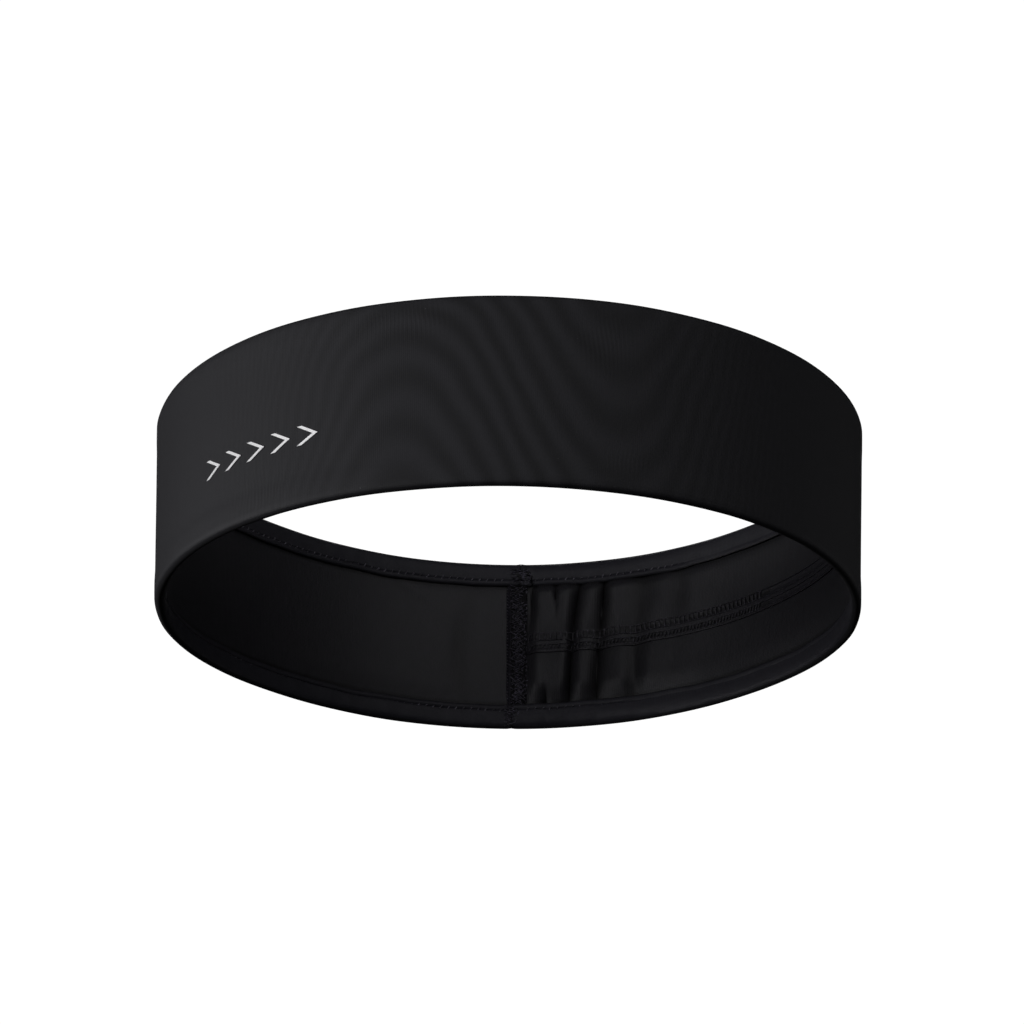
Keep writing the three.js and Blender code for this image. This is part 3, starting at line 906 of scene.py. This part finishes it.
def overlock_tree():
    """A lattice of crossing threads along the guide, with edge loops on its left-hand side."""
    numbers = ("Width", "Pitch", "Span", "Thread Radius", "Dome", "Jitter")
    tree, given = open_tree("overlock", numbers)
    bare = flow(tree, "GeometryNodeMeshToCurve", Mesh=given["Geometry"])
    by_length = {"mode": "LENGTH"}
    curve = flow(tree, "GeometryNodeResampleCurve", by_length, Curve=bare, Length=given["Pitch"])
    half_width = times(tree, given["Width"], 0.5)
    minus_width = times(tree, half_width, -1.0)
    reach = times(tree, times(tree, given["Pitch"], given["Span"]), 0.5)
    minus_reach = times(tree, reach, -1.0)
    unit = put(tree, "GeometryNodeJoinGeometry")
    across = flow(tree, "GeometryNodeInputPosition")
    y = put(tree, "ShaderNodeSeparateXYZ", Vector=across).outputs["Y"]
    share = calculate(tree, "DIVIDE", y, half_width)
    dome = times(tree, times(tree, share, share), given["Dome"])
    weave = times(tree, share, times(tree, given["Span"], math.pi))
    for lean in (1, -1):
        start = vector(tree, reach if lean < 0 else minus_reach, minus_width, 0.0)
        end = vector(tree, minus_reach if lean < 0 else reach, half_width, 0.0)
        line = flow(tree, "GeometryNodeCurvePrimitiveLine", Start=start, End=end)
        fine = flow(tree, "GeometryNodeResampleCurve", Curve=line, Count=25)
        over = times(tree, calculate(tree, "COSINE", weave), given["Thread Radius"])
        lift = calculate(tree, "SUBTRACT", times(tree, over, float(lean)), dome)
        woven = flow(tree, "GeometryNodeSetPosition", Geometry=fine, Offset=vector(tree, z=lift))
        tree.links.new(thread_along(tree, woven, given["Thread Radius"], 5), unit.inputs[0])
    quarter = times(tree, given["Pitch"], 0.45)
    outside = calculate(tree, "ADD", half_width, times(tree, given["Thread Radius"], 3.0))
    inside = calculate(tree, "SUBTRACT", half_width, times(tree, given["Thread Radius"], 2.0))
    loop = flow(
        tree,
        "GeometryNodeCurveQuadraticBezier",
        Resolution=7,
        Start=vector(tree, times(tree, quarter, -1.0), inside, 0.0),
        Middle=vector(tree, 0.0, outside, given["Thread Radius"]),
        End=vector(tree, quarter, inside, 0.0),
    )
    tree.links.new(thread_along(tree, loop, given["Thread Radius"]), unit.inputs[0])
    close_tree(tree, set_along(tree, curve, unit.outputs[0], given["Jitter"], 8), given["Material"])
    return tree


overlock = overlock_tree()
looper_heights = np.linspace(HEIGHT - HEM_DEPTH - 0.9 * MM, HEM_DEPTH + 0.9 * MM, 60)
looper_azimuth, looper_depth = strip_face((LATTICE_LEFT + LATTICE_RIGHT) / 2, looper_heights)
looper = grow_thread(
    "seam_overlock",
    wall_points(looper_azimuth, looper_heights, looper_depth + 0.12 * MM),
    overlock,
    seam_thread,
    Width=LATTICE_RIGHT - LATTICE_LEFT,
    Pitch=LOOPER_PITCH,
    Span=LOOPER_SPAN,
    Thread_Radius=0.115 * MM,
    Dome=0.18 * MM,
    Jitter=0.26,
)
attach(looper, "root")
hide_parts("seam_looper_thread")

# ------------------------------------------------------------------ hem serging
# The overlocked seam runs on across both hem flaps, where it was sewn before they were turned. Wide and
# flattened on the upper hem, narrow on the lower one.

SERGING_SPAN = 2.0


def flap_face(azimuth, height):
    """Depth of a hem flap's face away from its groove and bead."""
    from_fold = np.minimum(height, HEIGHT - height)
    puff = FLAP_PUFF * ramp(from_fold, 0.3 * MM, 2.4 * MM) * (1 - ramp(from_fold, 3.2 * MM, 5.3 * MM))
    lift = flap_lift(azimuth, height) * ramp(from_fold, 0, 3.3 * MM)
    return HEM_FACE + puff + lift - 1.0 * MM * (1 - ramp(from_fold, 0.1 * MM, 1.2 * MM))


def make_serging(name, azimuth, start, end, width):
    """A patch of overlock down a hem flap."""
    heights = np.linspace(start, end, 24)
    guide = wall_points(azimuth, heights, flap_face(azimuth, heights) + 0.12 * MM)
    return grow_thread(
        name,
        guide,
        overlock,
        seam_thread,
        Width=width,
        Pitch=LOOPER_PITCH,
        Span=SERGING_SPAN,
        Thread_Radius=0.13 * MM,
        Dome=0.15 * MM,
        Jitter=0.24,
    )


upper_serging = make_serging(
    "upper_hem_overlock", 177.65, HEIGHT - 2.5 * MM, HEIGHT - HEM_DEPTH + 1.0 * MM, 5.0 * MM
)
lower_serging = make_serging("lower_hem_overlock", 179.2, HEM_DEPTH - 1.0 * MM, 1.1 * MM, 3.4 * MM)
for serging, node in ((upper_serging, "upper_hem_serging"), (lower_serging, "lower_hem_serging")):
    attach(serging, "root")
    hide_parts(node)

# ------------------------------------------------------------------ hem threads
# One row of stitches round each hem, in the groove beside the flap's rolled edge. Each stitch crosses the
# groove on a slant. Near the seam they lie open, and round the rest of the band they sink into the knit.

HEM_TICK = 1.15 * MM
STITCH_SINK = 0.3 * MM
STITCH_HIDDEN = 0.45 * MM


def hem_guide(upper):
    """One point for each stitch round a hem, at the bottom of its groove."""
    step = math.degrees(STITCH_PITCH / UPPER_RADIUS)
    first = math.ceil((SEAM_AZIMUTH - 358.5) / step) * step
    azimuth = np.arange(first, SEAM_AZIMUTH - 1.5, step)
    away = turns_from_seam(azimuth)
    shown = 1 - ramp(away, 24, 34) if upper else 1 - ramp(np.abs(away + 3), 12, 18)
    height = HEIGHT - HEM_DEPTH + GROOVE_INSET if upper else HEM_DEPTH - GROOVE_INSET
    stray = hem_wander(azimuth, upper)
    depth = HEM_FACE + flap_lift(azimuth, height) - STITCH_SINK - STITCH_HIDDEN * (1 - shown)
    return wall_points(azimuth, height + (-stray if upper else stray), depth)


hem_thread = thread_material("hem_thread", (0.060, 0.057, 0.070), 0.45)
for name, upper in (("upper_hem", True), ("lower_hem", False)):
    stitches = grow_thread(
        f"{name}_stitches",
        hem_guide(upper),
        slanted_stitches,
        hem_thread,
        Length=0.8 * MM,
        Across=HEM_TICK,
        Rise=0.42 * MM,
        Sink=0.0,
        Thread_Radius=0.16 * MM,
        Jitter=0.12,
    )
    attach(stitches, "root")
    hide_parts(f"{name}_thread")

# ------------------------------------------------------------------ gathering elastic
# A 6 mm knitted elastic tape sewn stretched along the middle of the lining, from the seam round the +X
# side. It is caught under the allowance, and it follows the pleats that it makes.

ELASTIC_WIDTH = 6.0 * MM
ELASTIC_THICK = 0.5 * MM
ELASTIC_START = STRIP_RIGHT - 0.1
ELASTIC_END = 92.0
ELASTIC_ROWS = 15
EDGE_THIN = 0.15 * MM
HOLE_SHADE = 0.88
LADDER_OFFSET = 1.65 * MM
LADDER_SINK = 0.22 * MM
LADDER_END = 126.5


def elastic_middle(azimuth):
    """The tape climbs slowly away from the seam."""
    return HEIGHT / 2 + 1.4 * MM * (ELASTIC_START - azimuth) / 65 - 0.2 * MM


def elastic_face(azimuth, height):
    return lining_face(azimuth, height) + ELASTIC_THICK + 0.08 * MM


def make_elastic():
    fine = math.degrees(FINE_STEP / UPPER_RADIUS)
    azimuth = np.arange(ELASTIC_END, ELASTIC_START, fine)[:, None]
    across = np.linspace(-ELASTIC_WIDTH / 2, ELASTIC_WIDTH / 2, ELASTIC_ROWS)[None]
    height = elastic_middle(azimuth) + across
    sunk = LADDER_SINK * (bump(across, LADDER_OFFSET, 0.9 * MM) + bump(across, -LADDER_OFFSET, 0.8 * MM))
    edge = EDGE_THIN * ramp(np.abs(across), ELASTIC_WIDTH / 2 - 0.4 * MM, ELASTIC_WIDTH / 2)
    depth = elastic_face(azimuth, height) - sunk - edge - ELASTIC_THICK / 2
    arc = np.radians(azimuth) * UPPER_RADIUS
    spread = ramp(azimuth, LADDER_END - 1, LADDER_END) * (1 - 0.75 * ramp(azimuth, 163, 168))
    hole = bump(across, LADDER_OFFSET, 0.95 * MM) ** 2 + bump(across, -LADDER_OFFSET, 0.8 * MM) ** 2
    points = wall_points(azimuth, height, depth)
    dark = 1 - (1 - HOLE_SHADE * spread * hole) * (1 - 0.9 * valley_shade(azimuth, height))
    return cloth_from_grid("elastic_tape", points, arc, across, ELASTIC_THICK, shade=dark)


knitted_elastic = cloth_material(
    "knitted_elastic", (0.0110, 0.0100, 0.0140), rib_pitch=0.8, relief=0.05 * MM, roughness=0.5, specular=0.38
)

elastic = bake(make_elastic())
elastic.data.materials.append(knitted_elastic)
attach(elastic, "root")
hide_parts("gathering_elastic")

# ------------------------------------------------------------------ elastic threads
# Two rows of coverstitch along the tape, each a pair of rails joined by rungs: upright and wide apart in
# the upper row, slanted and closer in the lower one. A short bar tack holds the tape's free end.

TACK_INSET = 1.5 * MM
TACK_HALF = 2.5 * MM
TACK_STITCHES = 14


def ladder_tree():
    """Two rails along the guide and a rung at each of its points."""
    numbers = ("Rise", "Slant", "Rung Radius", "Rail Radius", "Rungs Behind", "Jitter")
    tree, given = open_tree("ladder", numbers)
    curve = flow(tree, "GeometryNodeMeshToCurve", Mesh=given["Geometry"])
    half = times(tree, given["Rise"], 0.5)
    minus_half = times(tree, half, -1.0)
    minus_slant = times(tree, given["Slant"], -1.0)
    rung = flow(
        tree,
        "GeometryNodeCurveQuadraticBezier",
        Resolution=6,
        Start=vector(tree, minus_slant, minus_half, 0.0),
        Middle=vector(tree, 0.0, 0.0, given["Rung Radius"]),
        End=vector(tree, given["Slant"], half, 0.0),
    )
    place = flow(tree, "GeometryNodeInputPosition")
    y = put(tree, "ShaderNodeSeparateXYZ", Vector=place).outputs["Y"]
    greater = {"operation": "GREATER_THAN"}
    behind = flow(tree, "FunctionNodeCompare", greater, A=y, B=given["Rungs Behind"])
    bar = thread_along(tree, rung, given["Rung Radius"])
    rungs = set_along(tree, curve, bar, given["Jitter"], 5, chosen=behind)
    joined = put(tree, "GeometryNodeJoinGeometry")
    tree.links.new(rungs, joined.inputs[0])
    for offset in (half, minus_half):
        rail = flow(tree, "GeometryNodeSetPosition", Geometry=curve, Offset=vector(tree, z=offset))
        tree.links.new(thread_along(tree, rail, given["Rail Radius"], 5), joined.inputs[0])
    close_tree(tree, joined.outputs[0], given["Material"])
    return tree


def ladder_guide(offset, pitch, start):
    azimuth = np.arange(start, ELASTIC_END + 3.0, -math.degrees(pitch / UPPER_RADIUS))
    height = elastic_middle(azimuth) + offset
    return wall_points(azimuth, height, elastic_face(azimuth, height) + 0.02 * MM)


ladder = ladder_tree()
ladder_back = -UPPER_RADIUS * math.cos(math.radians(LADDER_END))
elastic_thread = thread_material("elastic_thread", (0.0155, 0.0142, 0.0200), 0.5)
upper_rows = grow_thread(
    "elastic_upper_stitches",
    ladder_guide(LADDER_OFFSET, 1.62 * MM, ELASTIC_START - 0.5),
    ladder,
    elastic_thread,
    Rise=2.2 * MM,
    Slant=0.0,
    Rung_Radius=0.2 * MM,
    Rail_Radius=0.12 * MM,
    Rungs_Behind=ladder_back,
    Jitter=0.1,
)
lower_rows = grow_thread(
    "elastic_lower_stitches",
    ladder_guide(-LADDER_OFFSET, 1.2 * MM, ELASTIC_START - 0.8),
    ladder,
    elastic_thread,
    Rise=1.7 * MM,
    Slant=0.35 * MM,
    Rung_Radius=0.15 * MM,
    Rail_Radius=0.12 * MM,
    Rungs_Behind=ladder_back,
    Jitter=0.12,
)
tack_azimuth = ELASTIC_END + math.degrees(TACK_INSET / UPPER_RADIUS)
tack_heights = elastic_middle(ELASTIC_END) + np.linspace(-TACK_HALF, TACK_HALF, TACK_STITCHES)
tack = grow_thread(
    "elastic_bar_tack",
    wall_points(tack_azimuth, tack_heights, elastic_face(tack_azimuth, tack_heights)),
    slanted_stitches,
    elastic_thread,
    Length=0.25 * MM,
    Across=1.8 * MM,
    Rise=0.2 * MM,
    Sink=0.05 * MM,
    Thread_Radius=0.16 * MM,
    Jitter=0.05,
)
for rows, node in (
    (upper_rows, "elastic_upper_thread"),
    (lower_rows, "elastic_lower_thread"),
    (tack, "elastic_end_tack"),
):
    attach(rows, "root")
    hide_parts(node)

# ------------------------------------------------------------------ reflective chevrons
# Five slim arrowheads cut from silver-white reflective film and heat-pressed on the front left. The film
# is 0.1 mm thick and follows the cloth.

FILM = 0.1 * MM
CHEVRON_STEPS = 8


def node_patch(name):
    """The azimuths and heights that a CAD piece covers, as (left, right, lower, upper)."""
    points = np.array([v.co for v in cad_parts[name].data.vertices])
    azimuth = np.degrees(np.arctan2(points[:, 0], -points[:, 1]))
    return azimuth.min(), azimuth.max(), points[:, 2].min(), points[:, 2].max()


def make_chevron(name, node):
    """An arrowhead that points towards +X, with an even stroke."""
    left, right, lower, upper = node_patch(node)
    stroke = 0.24 * (right - left)
    middle = (lower + upper) / 2
    half = (upper - lower) / 2
    side = np.linspace(-1, 1, 2 * CHEVRON_STEPS + 1)[None]
    across = np.linspace(0, 1, 4)[:, None]
    azimuth = left + (right - left - stroke) * (1 - np.abs(side)) + stroke * across
    height = middle + half * side
    arc = np.radians(azimuth) * UPPER_RADIUS
    chevron = cloth_from_grid(name, wall_points(azimuth, height, -0.12 * MM), arc, height, FILM)
    return bake(chevron, edge_angle=40)


def film_material():
    """Silver-white film with a fine beaded grain."""
    material, tree, output = new_material("silver_film")
    cloth = put(tree, "ShaderNodeAttribute", {"attribute_name": "cloth"}).outputs["Vector"]
    grain = put(tree, "ShaderNodeTexNoise", Vector=cloth, Scale=3.0, Detail=2.0).outputs["Fac"]
    tone = flow(tree, "ShaderNodeMapRange", Value=grain, To_Min=0.9, To_Max=0.98)
    blue = times(tree, tone, 0.985)
    silver = flow(tree, "ShaderNodeCombineXYZ", X=tone, Y=tone, Z=blue)
    surface = flow(tree, "ShaderNodeBsdfPrincipled", Base_Color=silver, Roughness=0.4, Metallic=0.2)
    tree.links.new(surface, output.inputs["Surface"])
    return material


film = film_material()
for number in range(1, 6):
    chevron = make_chevron(f"chevron_{number}", f"mark_{number}")
    chevron.data.materials.append(film)
    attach(chevron, "root")
    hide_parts(f"mark_{number}")
